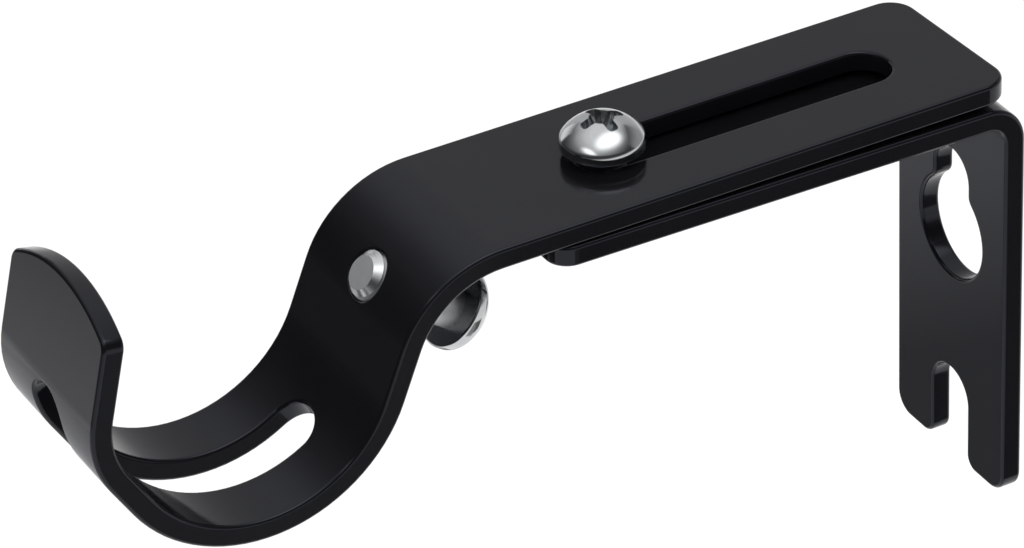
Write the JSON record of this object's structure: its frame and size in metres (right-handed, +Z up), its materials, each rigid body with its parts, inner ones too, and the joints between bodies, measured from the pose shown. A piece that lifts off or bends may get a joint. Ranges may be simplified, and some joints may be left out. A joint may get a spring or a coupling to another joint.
{
  "type": "curtain pole bracket",
  "caption": "Adjustable curtain pole bracket: L-shaped wall plate with keyhole and fork slot, sliding hook arm with a round pole cup, and locking screws.",
  "frame": {"origin": "on the wall face, on the centreline of the wall leg, between its keyhole and its fork slot", "axes": "+X along the pole, +Y into the wall, so the bracket reaches out along -Y, +Z up"},
  "size_m": [0.02, 0.1034, 0.0566],
  "materials": {
    "black_coat": "gloss",
    "screw_plating": "bright"
  },
  "bodies": {
    "wall_bracket": {"wall_bracket": "black_coat"},
    "hook_arm": {"hook_arm": "black_coat"},
    "adjusting_screw": {"adjusting_screw": "screw_plating"},
    "pole_locking_screw": {"pole_locking_screw": "screw_plating"}
  },
  "joints": [
    {"name": "arm_slide", "type": "slide", "parent": "wall_bracket", "child": "hook_arm", "axis": [0, -1, 0], "range_m": [0, 0.0297]},
    {"name": "adjusting_screw_travel", "type": "slide", "parent": "wall_bracket", "child": "adjusting_screw", "axis": [0, 0, -1], "range_m": [-0.003, 0.0008]},
    {"name": "locking_screw_travel", "type": "slide", "parent": "hook_arm", "child": "pole_locking_screw", "axis": [0, -0.7986, 0.6018], "range_m": [-0.002, 0.0075]}
  ]
}
